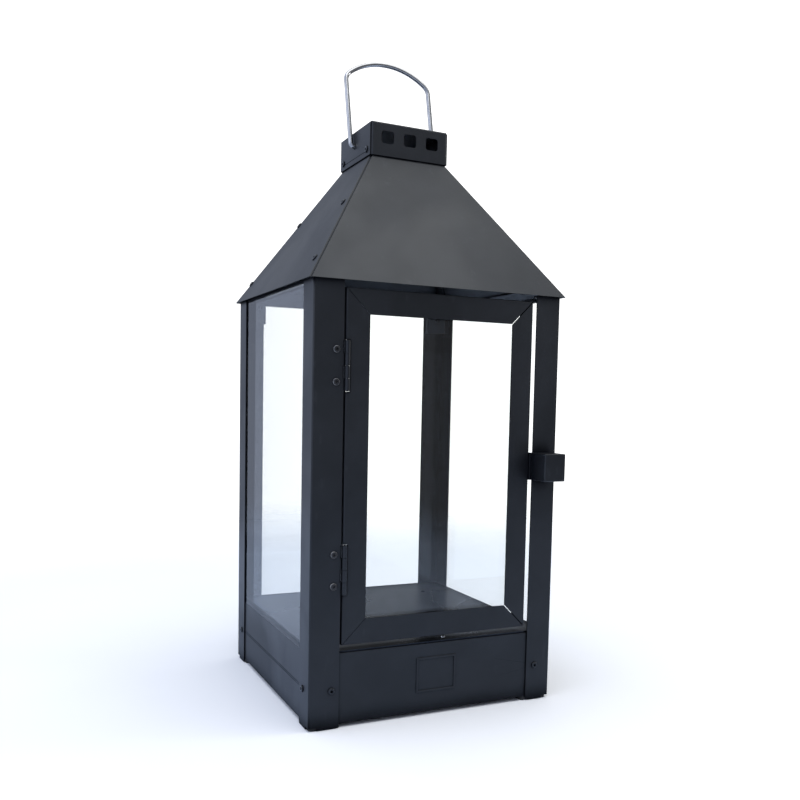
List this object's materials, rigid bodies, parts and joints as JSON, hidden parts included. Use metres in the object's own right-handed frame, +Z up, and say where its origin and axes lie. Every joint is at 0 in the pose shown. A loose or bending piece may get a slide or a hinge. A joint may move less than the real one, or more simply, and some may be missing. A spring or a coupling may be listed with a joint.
{
  "type": "candle lantern",
  "caption": "Square sheet-metal candle lantern with glass sides, a hinged glass door, a pyramid roof, a vented chimney and a wire carrying handle.",
  "frame": {"origin": "on the ground under the middle of the body", "axes": "+Z up, the door faces -Y and hinges on its -X side"},
  "size_m": [0.1968, 0.2132, 0.4859],
  "materials": {
    "satin_black_sheet": "satin",
    "floor_sheet": "satin",
    "inner_sheet": "satin",
    "roof_sheet": "satin",
    "bare_rivet": "satin",
    "black_rivet": "satin",
    "worn_rivet": "satin",
    "hinge_black": "satin",
    "door_sheet": "satin",
    "knob_black": "satin",
    "black_rubber": "matte",
    "clear_glass": "polished",
    "magnet_nickel": "polished",
    "polished_wire": "polished"
  },
  "bodies": {
    "lantern": {"post_front_left": "satin_black_sheet", "post_front_right": "satin_black_sheet", "post_back_left": "satin_black_sheet", "post_back_right": "satin_black_sheet", "base_panel_front": "satin_black_sheet", "base_panel_back": "satin_black_sheet", "base_panel_left": "satin_black_sheet", "base_panel_right": "satin_black_sheet", "floor_plate": "floor_sheet", "foot_pads": "black_rubber", "glass_pane_left": "clear_glass", "glass_pane_right": "clear_glass", "glass_pane_back": "clear_glass", "corner_gusset_front_left": "inner_sheet", "corner_gusset_front_right": "inner_sheet", "corner_gusset_back_left": "inner_sheet", "corner_gusset_back_right": "inner_sheet", "glass_clip_back_left": "inner_sheet", "glass_clip_back_right": "inner_sheet", "roof_panel_front": "roof_sheet", "roof_panel_back": "roof_sheet", "roof_panel_left": "roof_sheet", "roof_panel_right": "roof_sheet", "top_rail_left": "inner_sheet", "top_rail_right": "inner_sheet", "top_rail_back": "inner_sheet", "chimney_hood": "roof_sheet", "chimney_side_left": "roof_sheet", "chimney_side_right": "roof_sheet", "base_rivets": "black_rivet", "roof_rivets": "black_rivet", "chimney_rivets": "black_rivet", "clip_rivets": "black_rivet", "floor_rivet": "bare_rivet", "hinge_rivets": "worn_rivet", "hinge_upper_post_leaf": "hinge_black", "hinge_lower_post_leaf": "hinge_black", "hinge_upper_pin": "hinge_black", "hinge_lower_pin": "hinge_black"},
    "door": {"door_glass": "clear_glass", "door_stile_left": "door_sheet", "door_stile_right": "door_sheet", "door_rail_top": "door_sheet", "door_rail_bottom": "door_sheet", "door_corner_plate_top_left": "inner_sheet", "door_corner_plate_top_right": "inner_sheet", "door_corner_plate_bottom_left": "inner_sheet", "door_corner_plate_bottom_right": "inner_sheet", "door_glass_clips": "inner_sheet", "hinge_upper_door_leaf": "hinge_black", "hinge_lower_door_leaf": "hinge_black", "knob_block": "knob_black", "knob_bracket": "knob_black", "knob_magnet": "magnet_nickel", "knob_rivets": "worn_rivet"},
    "handle": {"handle_wire": "polished_wire"}
  },
  "joints": [
    {"name": "door_hinge", "type": "hinge", "parent": "lantern", "child": "door", "pos_m": [-0.071, -0.095, 0.1763], "axis": [0, 0, -1], "range_deg": [0, 150]},
    {"name": "handle_pivot", "type": "hinge", "parent": "lantern", "child": "handle", "pos_m": [0, 0, 0.4135], "axis": [1, 0, 0], "range_deg": [-92, 118]}
  ]
}
